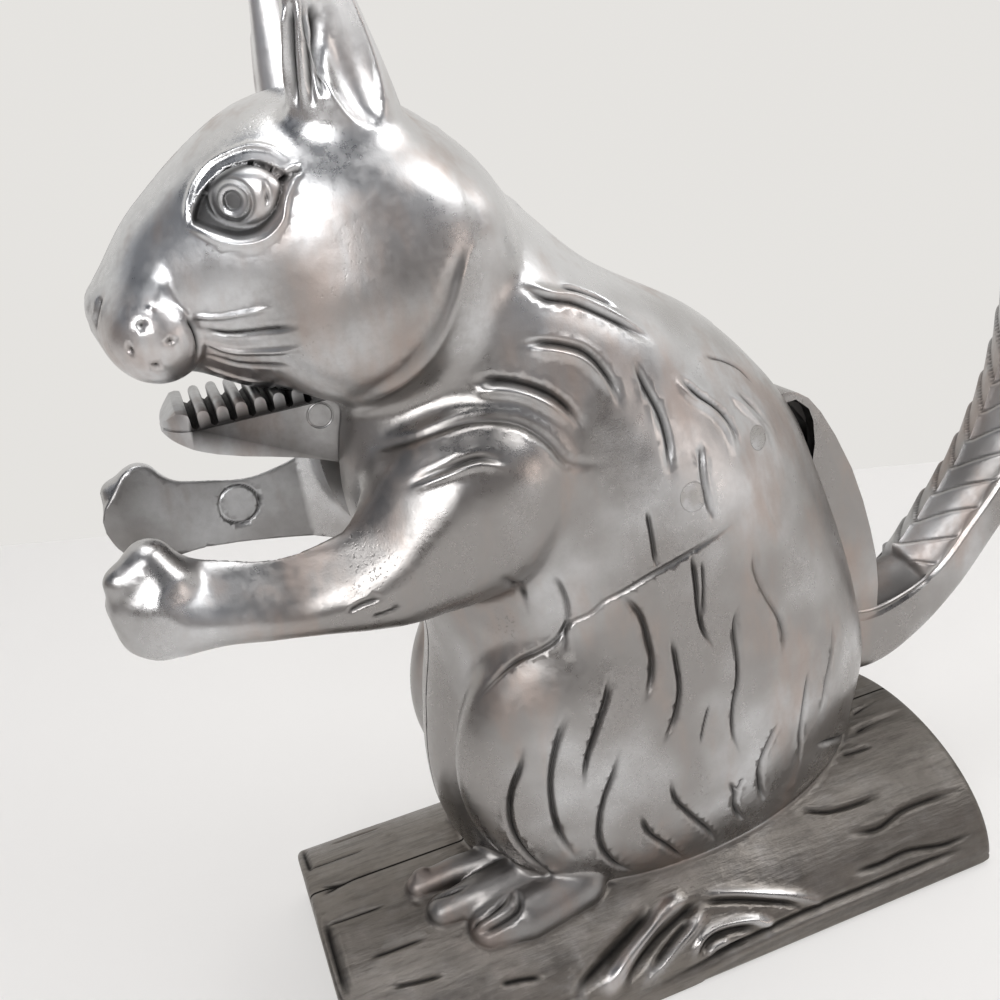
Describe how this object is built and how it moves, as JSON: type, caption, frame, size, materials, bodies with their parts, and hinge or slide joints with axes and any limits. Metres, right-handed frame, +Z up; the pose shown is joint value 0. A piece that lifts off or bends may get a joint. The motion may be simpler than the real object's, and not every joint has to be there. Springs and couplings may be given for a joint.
{
  "type": "lever nutcracker press",
  "caption": "Figural lever nutcracker in cast aluminium: a sitting squirrel on a half log, whose tail is the lever that closes a toothed jaw under its muzzle.",
  "frame": {"origin": "middle of the whole object's footprint box, on the surface that it stands on", "axes": "+X from the nose to the tail, +Z up, -Y towards the animal's left side; the castings' seam is the plane Y = 0"},
  "size_m": [0.2314, 0.069, 0.2038],
  "materials": {
    "cast_aluminium": "die-cast aluminium, tumbled and hand polished, with dark patina in the cuts",
    "rivet_aluminium": "plain aluminium wire; the ends that show are ground flush with the flanks"
  },
  "bodies": {
    "figure": {"left_casting": "cast_aluminium", "right_casting": "cast_aluminium", "pivot_pin": "rivet_aluminium", "head_rivet": "rivet_aluminium", "back_rivet": "rivet_aluminium", "rump_rivet": "rivet_aluminium", "log_front_rivet": "rivet_aluminium", "log_rear_rivet": "rivet_aluminium"},
    "lever": {"tail_lever": "cast_aluminium"}
  },
  "joints": [
    {"name": "tail_lift", "type": "hinge", "parent": "figure", "child": "lever", "pos_m": [-0.01701, 0, 0.101], "axis": [0, -1, 0], "range_deg": [0, 22]}
  ]
}
